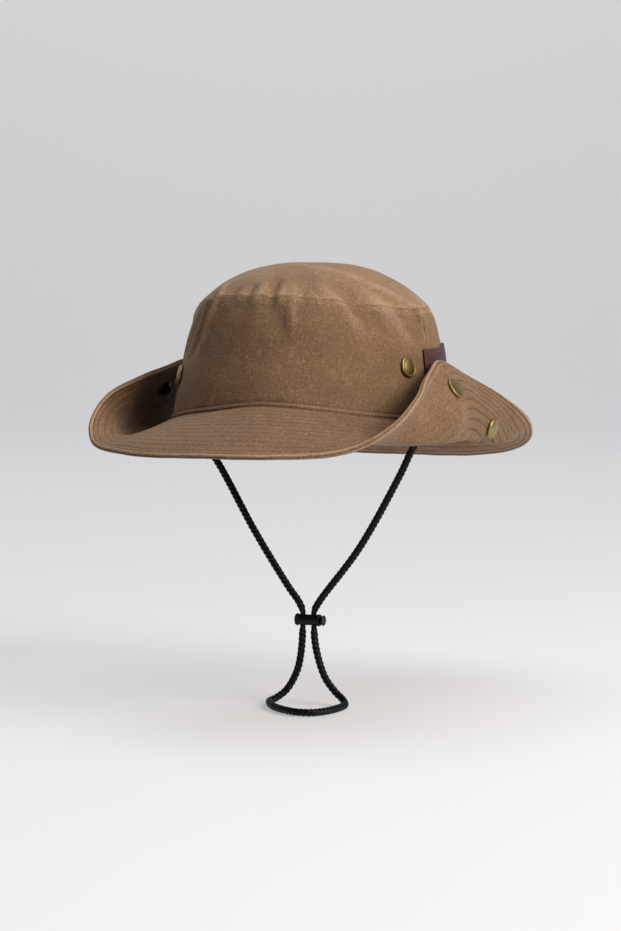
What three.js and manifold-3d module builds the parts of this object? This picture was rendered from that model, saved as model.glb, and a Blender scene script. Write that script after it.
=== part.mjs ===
// Safari hat of waxed cotton: a two-part crown, a two-ply brim turned up at both sides, a blank
// leather patch, brass snaps and a cord chin strap with a spring toggle.
// Millimetres, +Z up. The front of the hat looks along -Y, and left and right are the wearer's,
// so the left side is +X. The origin is the middle of the head opening, level with its seam.
import * as THREE from "three";
import { mergeVertices } from "three/addons/utils/BufferGeometryUtils.js";
import Module from "manifold-3d";

// Head oval at the seam between crown and brim
const HEAD_HALF_WIDTH = 87;
const HEAD_HALF_LENGTH = 102;
const HEAD_SEAM_ARCH = 6;
// The seam sags on the right of the front: how deep, round which angle, and how far each way
const SEAM_SAG = { depth: 4, angle: -34, spread: 33 };

// Crown
const CROWN_THICKNESS = 1.5;
const WALL_TAIL = 2.5;
const TOP_SEAM_HEIGHT = 70.3;
const TOP_SEAM_ARCH = 4.6;
const DOME_RISE = 25;
const DOME_POWER = 2.7;
const SEAM_GAP = 0.3;

// Brim
const PLY_THICKNESS = 1.3;
const PLY_GAP = 0.3;
const ROOT_SETTLE = 0.1;

// How finely the cloth is faceted
const ROUND_SEGMENTS = 60;
const CLOTH_STEP = 0.02;

// The side wall, from the base seam up: share of the height, how far it leans in from the head
// oval all round, and how far it leans back.
const WALL_ROWS = [
  { share: 0, inset: 0, back: 0 },
  { share: 0.15, inset: 1.4, back: 0.6 },
  { share: 0.3, inset: 2.9, back: 1.6 },
  { share: 0.475, inset: 5.1, back: 2.8 },
  { share: 0.61, inset: 6.4, back: 3.4 },
  { share: 0.745, inset: 8.5, back: 3.4 },
  { share: 0.847, inset: 10.9, back: 3.1 },
  { share: 0.92, inset: 12.9, back: 2.9 },
  { share: 0.97, inset: 14.7, back: 2.7 },
  { share: 1, inset: 15.8, back: 2.6 },
];

// The brim, in sections round the head: angle from the front in degrees, the same on both sides;
// where the edge lies, out from the head oval and up from the origin; the slopes in degrees at
// the seam and at the edge; and how far the section runs on along each slope as it bends.
const BRIM_ROWS = [
  { angle: 0, reach: 69, height: -20, seamSlope: -14, edgeSlope: -25, pull: 26 },
  { angle: 20, reach: 67.5, height: -20, seamSlope: -14, edgeSlope: -22, pull: 26 },
  { angle: 35, reach: 62, height: -14.5, seamSlope: -18, edgeSlope: 2, pull: 30 },
  { angle: 45, reach: 54, height: -2, seamSlope: -24, edgeSlope: 38, pull: 33 },
  { angle: 54, reach: 40.5, height: 12, seamSlope: -31, edgeSlope: 78, pull: 36 },
  { angle: 65, reach: 20.5, height: 22, seamSlope: -40, edgeSlope: 118, pull: 39 },
  { angle: 77, reach: 6.5, height: 28, seamSlope: -46, edgeSlope: 140, pull: 40 },
  { angle: 90, reach: 0, height: 32.5, seamSlope: -47, edgeSlope: 150, pull: 38 },
  { angle: 103, reach: 8.5, height: 24.3, seamSlope: -46, edgeSlope: 140, pull: 40 },
  { angle: 115, reach: 30, height: 11.2, seamSlope: -41, edgeSlope: 112, pull: 38 },
  { angle: 126, reach: 53, height: -5.4, seamSlope: -34, edgeSlope: 58, pull: 36 },
  { angle: 135, reach: 63.5, height: -19, seamSlope: -29, edgeSlope: 14, pull: 33 },
  { angle: 145, reach: 66, height: -29.5, seamSlope: -26, edgeSlope: -14, pull: 30 },
  { angle: 160, reach: 64.5, height: -36, seamSlope: -26, edgeSlope: -30, pull: 27 },
  { angle: 180, reach: 63, height: -38, seamSlope: -27, edgeSlope: -35, pull: 26 },
];

// Dents and folds of the crown: where the middle lies, round the head in degrees (to the
// wearer's left) and in rings (0 the crown's middle, 1 the top seam, 2 the base seam); half its
// spread each way; how much it slants, in degrees a ring; and how deep it is.
const DENTS = [
  { angle: -33, ring: 1.3, spread: 13, rise: 0.28, slant: 12, depth: 2.4 },
  { angle: -62, ring: 1.22, spread: 9, rise: 0.2, slant: -20, depth: 1.6 },
  { angle: -8, ring: 1.12, spread: 5, rise: 0.12, slant: 0, depth: 1.1 },
  { angle: 8, ring: 1.14, spread: 4, rise: 0.12, slant: 4, depth: 1 },
  { angle: 52, ring: 1.2, spread: 7, rise: 0.24, slant: -38, depth: 2 },
  { angle: 74, ring: 1.14, spread: 6, rise: 0.16, slant: -30, depth: 1.5 },
  { angle: 132, ring: 1.3, spread: 14, rise: 0.26, slant: 14, depth: 2.2 },
  { angle: 171, ring: 1.2, spread: 9, rise: 0.2, slant: -16, depth: 1.6 },
  { angle: -128, ring: 1.35, spread: 15, rise: 0.3, slant: -10, depth: 2.2 },
];

// Leather patch on the left of the crown
const PATCH = { fromAngle: 83, toAngle: 117, fromShare: 0.18, toShare: 0.64, climb: 0.0005 };
const PATCH_THICKNESS = 1.6;
const PATCH_SEAT = 0.35;

// Snaps: a domed cap, and the socket behind it on a flap
const CAP_RADIUS = 6.65;
const CAP_HEIGHT = 2.3;
const SOCKET_RADIUS = 5;
const SOCKET_HEIGHT = 2.6;
const SNAP_SEGMENTS = 12;
// Where they sit, as an angle and a ring: on the crown, on the flap, and low on the flap's rear.
// The two sides differ a little, as on a hat that is worn.
const SNAP_PLACES = {
  left: { crown: [71.6, 1.52], flap: [82, 2.72], rear: [104, 2.46] },
  right: { crown: [-50, 1.62], flap: [-87, 2.65], rear: [-106, 2.45] },
};

// Chin strap
const CORD_RADIUS = 1.75;
const CORD_SIDES = 8;
const CORD_STEPS = 78;
const STRAP_Y = -10.7;
const FLOOR_HEIGHT = -190;
const LYING = FLOOR_HEIGHT + CORD_RADIUS + 0.05;
const TAB = { angle: 83.8, halfAngle: 2.8, bottomRing: 2.03, topRing: 1.88, thickness: 3.8 };

// Toggle on the chin strap
const TOGGLE = { from: -6.2, to: 10.7, height: -135.2, radius: 3.85, flange: 1.6, waist: 3.45 };
const TOGGLE_HOLES = [-1.6, 6.2];
const HOLE_RADIUS = 2.15;
const BUTTON = { stem: 2.4, bore: 2.7, head: 3.4, headFrom: 12.5, headTo: 13.5, stemFrom: 10.2 };
const BORE_FLOOR = 8.5;
const TOGGLE_SIDES = 20;

const material = (color, roughness, metalness) =>
  new THREE.MeshStandardMaterial({ color, roughness, metalness });
const WAXED_COTTON = material(0x7d5e45, 0.85, 0);
const PATCH_LEATHER = material(0x3b2623, 0.6, 0);
const BRASS = material(0x9b7d45, 0.35, 1);
const BLACK_CORD = material(0x1b1a1a, 0.8, 0);
const BLACK_PLASTIC = material(0x141414, 0.4, 0);

const radians = THREE.MathUtils.degToRad;
const wasm = await Module();
wasm.setup();

// A smooth curve through the rows of a table, level at both ends, as a function of its first
// column. It gives back a row of the other columns.
function throughRows(rows) {
  const [key, ...columns] = Object.keys(rows[0]);
  const places = rows.map((row) => row[key]);
  const values = rows.flatMap((row) => columns.map((column) => row[column]));
  const curve = new THREE.CubicInterpolant(places, values, columns.length);
  curve.settings = { endingStart: THREE.ZeroSlopeEnding, endingEnd: THREE.ZeroSlopeEnding };
  return (place) => {
    const found = curve.evaluate(THREE.MathUtils.clamp(place, places[0], places.at(-1)));
    return Object.fromEntries(columns.map((column, i) => [column, found[i]]));
  };
}

const wallAt = throughRows(WALL_ROWS);
const brimAt = throughRows(BRIM_ROWS);

// An angle in degrees as one from -180 to 180.
const wrapped = (angle) => THREE.MathUtils.euclideanModulo(angle + 180, 360) - 180;

function baseSeamHeight(angle) {
  const away = wrapped(angle - SEAM_SAG.angle) / SEAM_SAG.spread;
  return HEAD_SEAM_ARCH * Math.cos(2 * radians(angle)) - SEAM_SAG.depth * Math.exp(-(away ** 4));
}

const topSeamHeight = (angle) => TOP_SEAM_HEIGHT + TOP_SEAM_ARCH * Math.cos(2 * radians(angle));

// A point of the oval that lies inset inside the head oval.
function ovalPoint(angle, inset, height) {
  const turn = radians(angle);
  return new THREE.Vector3(
    (HEAD_HALF_WIDTH - inset) * Math.sin(turn),
    -(HEAD_HALF_LENGTH - inset) * Math.cos(turn),
    height,
  );
}

// The level direction straight out of the head oval.
function ovalOutward(angle) {
  const turn = radians(angle);
  return new THREE.Vector3(
    HEAD_HALF_LENGTH * Math.sin(turn),
    -HEAD_HALF_WIDTH * Math.cos(turn),
    0,
  ).normalize();
}

// The brim's section at an angle, from the seam to the edge: out across and up.
const sections = new Map();
function brimSection(angle) {
  const turn = wrapped(angle);
  const key = turn.toFixed(3);
  if (!sections.has(key)) {
    const row = brimAt(Math.abs(turn));
    const along = (slope) => new THREE.Vector2(Math.cos(radians(slope)), Math.sin(radians(slope)));
    const seam = new THREE.Vector2(0, baseSeamHeight(turn));
    const edge = new THREE.Vector2(row.reach, row.height);
    const leaving = seam.clone().addScaledVector(along(row.seamSlope), row.pull);
    const ending = edge.clone().addScaledVector(along(row.edgeSlope), -row.pull);
    sections.set(key, new THREE.CubicBezierCurve(seam, leaving, ending, edge));
  }
  return sections.get(key);
}

// The skin of the hat. Ring 0 is the crown's middle, 1 the top seam, 2 the base seam and 3 the
// edge of the brim.
function topPoint(angle, ring) {
  const rim = wallAt(1);
  const seam = ovalPoint(angle, rim.inset, 0);
  const dome = TOP_SEAM_HEIGHT + DOME_RISE * (1 - ring ** DOME_POWER);
  const height = dome + (topSeamHeight(angle) - TOP_SEAM_HEIGHT) * ring ** 2;
  return new THREE.Vector3(seam.x * ring, seam.y * ring + rim.back, height);
}

function wallPoint(angle, ring) {
  const base = baseSeamHeight(angle);
  if (ring > 2) return ovalPoint(angle, 0, base - (ring - 2) * TOP_SEAM_HEIGHT);
  const share = 2 - ring;
  const row = wallAt(share);
  const point = ovalPoint(angle, row.inset, base + (topSeamHeight(angle) - base) * share);
  point.y += row.back;
  return point;
}

function crownPoint(angle, ring) {
  const point = ring < 1 ? topPoint(angle, ring) : wallPoint(angle, ring);
  const inward = ovalOutward(angle).negate();
  for (const dent of DENTS) {
    const up = dent.ring - ring;
    const round = wrapped(angle - dent.angle + dent.slant * up);
    const size = Math.exp(-((round / dent.spread) ** 2) - (up / dent.rise) ** 2);
    point.addScaledVector(inward, dent.depth * size);
  }
  return point;
}

function brimPoint(angle, ring) {
  const spot = brimSection(angle).getPointAt(THREE.MathUtils.clamp(ring - 2, 0, 1));
  const root = ovalPoint(angle, 0, spot.y);
  return root.addScaledVector(ovalOutward(angle), spot.x + SEAM_GAP);
}

// The direction out of the skin: up on the brim, outward on the crown.
function skinNormal(surface, angle, ring, lowest, highest) {
  const round = surface(angle + 1, ring).sub(surface(angle - 1, ring));
  const outer = Math.min(ring + CLOTH_STEP, highest);
  const inner = Math.max(ring - CLOTH_STEP, lowest);
  const down = surface(angle, outer).sub(surface(angle, inner));
  return down.cross(round).normalize();
}

function crownSkin(angle, ring, lift) {
  const up = new THREE.Vector3(0, 0, 1);
  if (ring === 0) return crownPoint(0, 0).addScaledVector(up, lift);
  const outward = ring > 2 ? ovalOutward(angle) : skinNormal(crownPoint, angle, ring, 0.001, 2);
  return crownPoint(angle, ring).addScaledVector(outward, lift);
}

// Both plies end in an upright face at the seam, so the lift turns upright there.
function brimSkin(angle, ring, lift) {
  const upward = skinNormal(brimPoint, angle, ring, 2, 3);
  const settled = THREE.MathUtils.smoothstep(ring - 2, 0, ROOT_SETTLE);
  const way = new THREE.Vector3(0, 0, 1).lerp(upward, settled);
  return brimPoint(angle, ring).addScaledVector(way, lift);
}

// Moves each corner of a plain geometry to its place and joins the corners that meet.
function mould(geometry, place) {
  const spots = geometry.attributes.position;
  const corner = new THREE.Vector3();
  for (let i = 0; i < spots.count; i += 1) {
    corner.fromBufferAttribute(spots, i);
    spots.setXYZ(i, ...place(corner));
  }
  geometry.deleteAttribute("normal");
  geometry.deleteAttribute("uv");
  const joined = mergeVertices(geometry, 1e-3);
  joined.computeVertexNormals();
  return joined;
}

// A sheet of cloth on a skin all round the hat, from its first ring to its last, between two
// lifts. A sheet that starts at ring 0 is closed there.
function clothAround(skin, rings, inner, outer) {
  const below = rings.map((ring) => new THREE.Vector2(ring, inner));
  const above = rings.map((ring) => new THREE.Vector2(ring, outer)).reverse();
  const joined = rings[0] === 0 ? [] : [below[0].clone()];
  const turned = new THREE.LatheGeometry([...below, ...above, ...joined], ROUND_SEGMENTS);
  splitAlike(turned, rings.length);
  return mould(turned, (corner) => {
    const angle = THREE.MathUtils.radToDeg(Math.atan2(corner.x, corner.z));
    const ring = Math.hypot(corner.x, corner.z);
    return skin(angle, ring < 1e-6 ? 0 : ring, corner.y);
  });
}

// A turned geometry splits its four-sided faces into triangles (a, b, d) and (c, d, b). Here the
// upper and the lower face of the cloth are split alike, and along the folds, which run from the
// front and the back of the hat outward to its sides.
function splitAlike(geometry, ringCount) {
  const old = Array.from(geometry.index.array);
  const rows = old.length / 6 / ROUND_SEGMENTS;
  const split = [];
  for (let i = 0; i < old.length; i += 6) {
    const [a, b, d, c] = old.slice(i, i + 4);
    const isUpper = (i / 6) % rows >= ringCount;
    const turn = (2 * Math.PI * (Math.floor(i / 6 / rows) + 0.5)) / ROUND_SEGMENTS;
    const runsBack = Math.sin(2 * turn) < 0;
    if (isUpper !== runsBack) split.push(a, b, c, a, c, d);
    else split.push(a, b, d, c, d, b);
  }
  geometry.setIndex(split);
}

const hat = new THREE.Group();
hat.name = "safari_hat";

function add(name, geometry, finish) {
  const mesh = new THREE.Mesh(geometry, finish);
  mesh.name = name;
  hat.add(mesh);
  return mesh;
}

// A three.js geometry as a solid that can be cut, and back again.
function solid(geometry) {
  const bare = mould(geometry.index ? geometry.toNonIndexed() : geometry, (corner) => corner);
  return new wasm.Manifold(
    new wasm.Mesh({
      numProp: 3,
      vertProperties: bare.attributes.position.array,
      triVerts: new Uint32Array(bare.index.array),
    }),
  );
}

function geometryOf(body) {
  const mesh = body.getMesh();
  const geometry = new THREE.BufferGeometry();
  geometry.setAttribute("position", new THREE.BufferAttribute(mesh.vertProperties, 3));
  geometry.setIndex(new THREE.BufferAttribute(mesh.triVerts, 1));
  geometry.computeVertexNormals();
  return geometry;
}

function addCrown() {
  const seamStep = SEAM_GAP / 2 / TOP_SEAM_HEIGHT;
  const topRings = [0, 0.3, 0.55, 0.75, 0.9, 1 - 2 * seamStep];
  const tail = 2 + WALL_TAIL / TOP_SEAM_HEIGHT;
  const wallRings = [1 + seamStep, 1.08, 1.2, 1.36, 1.55, 1.78, 2, tail];
  add("crown_top", clothAround(crownSkin, topRings, -CROWN_THICKNESS, 0), WAXED_COTTON);
  add("crown_wall", clothAround(crownSkin, wallRings, -CROWN_THICKNESS, 0), WAXED_COTTON);
}

function addBrim() {
  const rings = [2, 2.06, 2.16, 2.28, 2.4, 2.52, 2.64, 2.76, 2.88, 3];
  const near = PLY_GAP / 2;
  const far = near + PLY_THICKNESS;
  add("brim_upper", clothAround(brimSkin, rings, near, far), WAXED_COTTON);
  add("brim_under", clothAround(brimSkin, rings, -far, -near), WAXED_COTTON);
}

function addPatch() {
  const sheet = new THREE.BoxGeometry(1, 1, 1, 9, 5, 1);
  const along = PATCH.toAngle - PATCH.fromAngle;
  const middle = (PATCH.fromAngle + PATCH.toAngle) / 2;
  const patch = mould(sheet, (corner) => {
    const angle = middle + corner.x * along;
    const share = THREE.MathUtils.lerp(PATCH.fromShare, PATCH.toShare, corner.y + 0.5);
    const climbed = share + PATCH.climb * (angle - PATCH.fromAngle);
    const lift = PATCH_SEAT + (corner.z + 0.5) * PATCH_THICKNESS;
    return crownSkin(angle, 2 - climbed, lift);
  });
  add("leather_patch", patch, PATCH_LEATHER);
}

// A snap piece is turned about the line out of the cloth that it is fixed on.
function addSnap(name, section, skin, angle, ring, lift, way) {
  const foot = skin(angle, ring, lift);
  const outward = skin(angle, ring, lift + way).sub(foot).normalize();
  const snap = add(name, new THREE.LatheGeometry(section, SNAP_SEGMENTS), BRASS);
  snap.position.copy(foot);
  snap.quaternion.setFromUnitVectors(new THREE.Vector3(0, 1, 0), outward);
}

function capSection() {
  return [
    new THREE.Vector2(0, 0),
    new THREE.Vector2(CAP_RADIUS - 0.5, 0),
    new THREE.Vector2(CAP_RADIUS, 0.6),
    new THREE.Vector2(CAP_RADIUS * 0.86, CAP_HEIGHT * 0.72),
    new THREE.Vector2(CAP_RADIUS * 0.45, CAP_HEIGHT * 0.95),
    new THREE.Vector2(0, CAP_HEIGHT),
  ];
}

// The socket is a flange with a raised ring round a shallow well.
function socketSection() {
  return [
    new THREE.Vector2(0, 0),
    new THREE.Vector2(SOCKET_RADIUS, 0),
    new THREE.Vector2(SOCKET_RADIUS, 0.7),
    new THREE.Vector2(SOCKET_RADIUS * 0.72, 1),
    new THREE.Vector2(SOCKET_RADIUS * 0.66, SOCKET_HEIGHT),
    new THREE.Vector2(SOCKET_RADIUS * 0.44, SOCKET_HEIGHT),
    new THREE.Vector2(SOCKET_RADIUS * 0.4, 1),
    new THREE.Vector2(0, 0.9),
  ];
}

function addSnaps() {
  const face = PLY_GAP / 2 + PLY_THICKNESS;
  for (const [side, place] of Object.entries(SNAP_PLACES)) {
    addSnap(`crown_snap_${side}`, capSection(), crownSkin, ...place.crown, 0.5, 1);
    addSnap(`flap_snap_${side}`, capSection(), brimSkin, ...place.flap, -face - 0.35, -1);
    addSnap(`flap_socket_${side}`, socketSection(), brimSkin, ...place.flap, face + 0.8, 1);
    addSnap(`rear_snap_${side}`, capSection(), brimSkin, ...place.rear, -face - 0.35, -1);
  }
}

// The tabs hold the cord's ends inside the head opening, on the wall at the base seam.
function addTabs() {
  const wallSide = -CROWN_THICKNESS - SEAM_GAP;
  for (const [side, sign] of [["left", 1], ["right", -1]]) {
    const tab = mould(new THREE.BoxGeometry(2, 1, 1), (corner) => {
      const angle = sign * TAB.angle + corner.x * TAB.halfAngle;
      const ring = THREE.MathUtils.lerp(TAB.bottomRing, TAB.topRing, corner.y + 0.5);
      return crownSkin(angle, ring, wallSide - (0.5 - corner.z) * TAB.thickness);
    });
    add(`cord_tab_${side}`, tab, WAXED_COTTON);
  }
}

// The cord leaves the right tab, runs down through the toggle, lies in a loop on the floor that
// the photo shows under it, and comes back up through the toggle to the left tab.
const CORD_ROUTE = [
  [-82.8, STRAP_Y, -8.6],
  [-82.2, STRAP_Y, -12],
  [-80.3, STRAP_Y, -15.3],
  [-74.8, STRAP_Y, -21.2],
  [-64, STRAP_Y, -33.4],
  [-35.6, STRAP_Y, -79.8],
  [-11.4, STRAP_Y, -115],
  [-4.6, STRAP_Y, -123.6],
  [-1.8, STRAP_Y, -129.6],
  [-1.6, STRAP_Y, -135.2],
  [-2.7, STRAP_Y, -155],
  [-5.3, STRAP_Y, -167.5],
  [-10.2, STRAP_Y, -177.5],
  [-14.8, -11.6, -183.6],
  [-18.4, -15.2, -187.1],
  [-19.8, -21.5, LYING],
  [-15.5, -31.5, LYING],
  [-7, -43, LYING],
  [3.5, -51.5, LYING],
  [14.5, -56.5, LYING],
  [24.5, -54.5, LYING],
  [30.5, -44, LYING],
  [32.5, -31, LYING],
  [32.2, -22, LYING],
  [30.4, -16, -187.7],
  [26.6, -12.2, -185.2],
  [21.2, STRAP_Y, -180.9],
  [14.4, STRAP_Y, -172.6],
  [9.4, STRAP_Y, -160],
  [6.9, STRAP_Y, -148.5],
  [6.2, STRAP_Y, -135.2],
  [6.5, STRAP_Y, -129.4],
  [10.2, STRAP_Y, -122.8],
  [38.2, STRAP_Y, -87],
  [66.3, STRAP_Y, -39.2],
  [74.8, STRAP_Y, -22.4],
  [80.5, STRAP_Y, -15],
  [82.3, STRAP_Y, -11.8],
  [82.8, STRAP_Y, -8.6],
];

function addCord() {
  const points = CORD_ROUTE.map((spot) => new THREE.Vector3(...spot));
  const route = new THREE.CatmullRomCurve3(points, false, "centripetal");
  const round = new THREE.Shape();
  for (let side = 0; side < CORD_SIDES; side += 1) {
    const turn = (2 * Math.PI * (side + 0.5)) / CORD_SIDES;
    const corner = [CORD_RADIUS * Math.cos(turn), CORD_RADIUS * Math.sin(turn)];
    if (side === 0) round.moveTo(...corner);
    else round.lineTo(...corner);
  }
  round.closePath();
  const tube = new THREE.ExtrudeGeometry(round, { steps: CORD_STEPS, extrudePath: route });
  add("cord", mould(tube, (corner) => corner), BLACK_CORD);
}

// Both pieces of the toggle are turned about a line along X.
function turnedAlongX(section, sides) {
  const turned = new THREE.LatheGeometry(section.map(([x, r]) => new THREE.Vector2(r, x)), sides);
  return turned.rotateZ(-Math.PI / 2);
}

function addToggle() {
  const { from, to, radius, waist, flange } = TOGGLE;
  const barrel = turnedAlongX(
    [
      [from, 0],
      [from, radius - 0.4],
      [from + 0.4, radius],
      [from + flange, radius],
      [from + flange + 0.4, waist],
      [to - flange - 0.4, waist],
      [to - flange, radius],
      [to - 0.4, radius],
      [to, radius - 0.4],
      [to, BUTTON.bore],
      [BORE_FLOOR, BUTTON.bore],
      [BORE_FLOOR, 0],
    ],
    TOGGLE_SIDES,
  );
  let body = solid(barrel);
  for (const x of TOGGLE_HOLES) {
    const drill = new THREE.CylinderGeometry(HOLE_RADIUS, HOLE_RADIUS, 4 * radius, 12);
    body = body.subtract(solid(drill.rotateX(Math.PI / 2).translate(x, 0, 0)));
  }
  const shell = add("toggle_barrel", geometryOf(body), BLACK_PLASTIC);
  const button = turnedAlongX(
    [
      [BUTTON.stemFrom, 0],
      [BUTTON.stemFrom, BUTTON.stem],
      [BUTTON.headFrom, BUTTON.stem],
      [BUTTON.headFrom, BUTTON.head],
      [BUTTON.headTo - 0.3, BUTTON.head],
      [BUTTON.headTo, BUTTON.head - 0.4],
      [BUTTON.headTo, 0],
    ],
    TOGGLE_SIDES,
  );
  const plunger = add("toggle_button", mould(button, (corner) => corner), BLACK_PLASTIC);
  for (const piece of [shell, plunger]) piece.position.set(0, STRAP_Y, TOGGLE.height);
}

addCrown();
addBrim();
addPatch();
addSnaps();
addTabs();
addCord();
addToggle();

export default hat;
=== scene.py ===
import math
from functools import partial

import bmesh
import bpy
import numpy as np
from mathutils import Matrix, Vector, noise


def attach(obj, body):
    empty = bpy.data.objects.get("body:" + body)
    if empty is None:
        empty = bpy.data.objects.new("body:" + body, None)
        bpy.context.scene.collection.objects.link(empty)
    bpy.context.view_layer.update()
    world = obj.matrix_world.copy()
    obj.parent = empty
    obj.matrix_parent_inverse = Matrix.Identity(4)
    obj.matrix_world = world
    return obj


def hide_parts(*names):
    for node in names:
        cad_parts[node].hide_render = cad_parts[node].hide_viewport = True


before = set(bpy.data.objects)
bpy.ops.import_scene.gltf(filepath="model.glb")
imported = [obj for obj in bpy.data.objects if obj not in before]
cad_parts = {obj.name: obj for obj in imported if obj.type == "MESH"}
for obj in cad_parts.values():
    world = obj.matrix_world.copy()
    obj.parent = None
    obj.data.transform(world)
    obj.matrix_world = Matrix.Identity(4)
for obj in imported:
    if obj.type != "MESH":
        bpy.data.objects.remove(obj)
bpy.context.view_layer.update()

# Shapes are worked out in millimetres, as in the part's source, and written in metres.
MM = 0.001

# Head oval, crown and brim, with the source's own values
HEAD_HALF_WIDTH = 87
HEAD_HALF_LENGTH = 102
HEAD_SEAM_ARCH = 6
SEAM_SAG = {"depth": 4, "angle": -34, "spread": 33}
CROWN_THICKNESS = 1.5
WALL_TAIL = 2.5
TOP_SEAM_HEIGHT = 70.3
TOP_SEAM_ARCH = 4.6
DOME_RISE = 25
DOME_POWER = 2.7
# How many mm a ring spans, from the crown's middle to the top seam, and for the seam's puckers
DOME_REACH = 80
PUCKER_SPAN = 62
SEAM_GAP = 0.3
PLY_THICKNESS = 1.3
PLY_GAP = 0.3
BRIM_FACE = PLY_GAP / 2 + PLY_THICKNESS
ROOT_SETTLE = 0.1

# The side wall: share of the height, lean inward, lean back
WALL_ROWS = [
    (0, 0, 0), (0.15, 1.4, 0.6), (0.3, 2.9, 1.6), (0.475, 5.1, 2.8), (0.61, 6.4, 3.4),
    (0.745, 8.5, 3.4), (0.847, 10.9, 3.1), (0.92, 12.9, 2.9), (0.97, 14.7, 2.7), (1, 15.8, 2.6),
]
# The brim: angle from the front, reach and height of its edge, slope at the seam, slope at the
# edge, and how far it runs on along each slope
BRIM_ROWS = [
    (0, 69, -20, -14, -25, 26), (20, 67.5, -20, -14, -22, 26), (35, 62, -14.5, -18, 2, 30),
    (45, 54, -2, -24, 38, 33), (54, 40.5, 12, -31, 78, 36), (65, 20.5, 22, -40, 118, 39),
    (77, 6.5, 28, -46, 140, 40), (90, 0, 32.5, -47, 150, 38), (103, 8.5, 24.3, -46, 140, 40),
    (115, 30, 11.2, -41, 112, 38), (126, 53, -5.4, -34, 58, 36), (135, 63.5, -19, -29, 14, 33),
    (145, 66, -29.5, -26, -14, 30), (160, 64.5, -36, -26, -30, 27), (180, 63, -38, -27, -35, 26),
]
# Dents of the crown: angle, ring, spread, rise, slant, depth
DENTS = [
    (-33, 1.3, 13, 0.28, 12, 2.4), (-62, 1.22, 9, 0.2, -20, 1.6), (-8, 1.12, 5, 0.12, 0, 1.1),
    (8, 1.14, 4, 0.12, 4, 1), (52, 1.2, 7, 0.24, -38, 2), (74, 1.14, 6, 0.16, -30, 1.5),
    (132, 1.3, 14, 0.26, 14, 2.2), (171, 1.2, 9, 0.2, -16, 1.6), (-128, 1.35, 15, 0.3, -10, 2.2),
]
# Fine folds and puckers of the crown's cloth: two ends, each an angle and a ring, half the
# width in mm, and the height in mm, less than nothing for a hollow
FOLDS = [
    ((12, 0.46), (40, 0.56), 4.5, 1.3), ((40, 0.56), (58, 0.67), 4, 1.6),
    ((58, 0.67), (79, 0.88), 4, 1.6), ((79, 0.88), (94, 1), 3.5, 1.2),
    ((30, 0.82), (40, 1.02), 4.5, 1.5), ((40, 1.02), (49, 1.25), 4.5, 1.7),
    ((58, 0.84), (67, 1.07), 4, 1.3), ((67, 1.07), (75, 1.3), 4.5, 1.5),
    ((44, 0.8), (50, 1.06), 4.5, -1.9), ((52, 1), (60, 1.2), 5, -1.2),
    ((24, 0.7), (33, 0.94), 6, -1), ((70, 0.86), (77, 1.06), 4, -1),
    ((-33, 0.84), (-24, 1), 3, 1.6), ((-24, 1), (-31, 1.44), 3.2, 2.9),
    ((-32, 0.97), (-39, 1.42), 5, -3.4), ((-40, 1.02), (-46, 1.4), 4, -1.2),
    ((-14, 0.9), (-13.5, 1.03), 2.2, -0.8), ((-10, 0.92), (-10, 1.04), 2, 0.5),
    ((-5, 0.9), (-4.5, 1.06), 2.4, -1.6), ((1, 0.86), (1, 1.06), 2.4, 1),
    ((6.5, 0.8), (8, 1), 3, -2.6), ((8, 1), (9, 1.1), 2.6, -1),
    ((13, 0.9), (12.5, 1.03), 2.2, 0.6), ((13, 1.08), (14, 1.4), 4, -0.9),
    ((18.5, 0.9), (19, 1.3), 3, 1.1), ((30, 0.94), (31, 1.06), 2, 0.5),
    ((24, 0.93), (25, 1.07), 1.6, -1), ((36, 0.96), (37, 1.05), 1.4, -0.6),
    ((84, 0.96), (90, 1.2), 3.5, -1.2), ((104, 0.9), (112, 1.15), 5, 1.2),
    ((138, 0.92), (150, 1.2), 5, -1.3), ((168, 0.9), (160, 1.2), 5, 1.2),
    ((-160, 0.92), (-166, 1.2), 5, -1.2), ((-138, 0.86), (-120, 1.15), 5, 1.2),
    ((-100, 0.9), (-106, 1.2), 4.5, -1.2), ((-74, 0.88), (-64, 1.12), 4.5, 1.2),
]
# Creases low on each flap, where the cloth turns up: the same columns, in brim rings
CREASES = [
    ((66, 2.28), (78, 2.44), 2.4, -0.9), ((70, 2.22), (84, 2.38), 2, 0.8),
    ((75, 2.2), (88, 2.32), 1.8, -0.8), ((60, 2.3), (70, 2.4), 2.4, 0.7),
    ((92, 2.3), (104, 2.36), 2.6, -0.8), ((100, 2.24), (114, 2.4), 3, 0.8),
    ((52, 2.42), (64, 2.34), 3, -0.7), ((76, 2.38), (86, 2.28), 2.2, -1.3),
    ((86, 2.28), (97, 2.27), 2.2, -2.2), ((97, 2.27), (106, 2.37), 2.2, -2.6),
    ((106, 2.37), (114, 2.53), 2.2, -2.8), ((114, 2.53), (121, 2.7), 2.2, -2.4),
    ((121, 2.7), (128, 2.87), 2.2, -1.6), ((90, 2.21), (101, 2.24), 2.4, 1.5),
    ((101, 2.24), (111, 2.36), 2.4, 1.8), ((111, 2.36), (120, 2.54), 2.4, 1.8),
    ((120, 2.54), (127, 2.72), 2.4, 1.4),
]

# The seam that joins the front and rear parts of the brim's underside
UNDER_SEAM = [
    ((85.5, 2.98), (84.5, 2.72)), ((84.5, 2.72), (82, 2.62)), ((82, 2.62), (82.5, 2.5)),
    ((82.5, 2.5), (85.5, 2.39)), ((85.5, 2.39), (91, 2.27)), ((91, 2.27), (93, 2.05)),
]

# Rows of stitching on the crown, in mm below the top seam, above the base seam, and beside each
# side seam, where a degree round the crown spans so many mm
TOP_STITCH = 3.1
BASE_STITCH = 4.4
SIDE_STITCH = 2.2
DEGREE_SPAN = 1.45
LEFT_SEAM_STOP = 1.3

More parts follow.
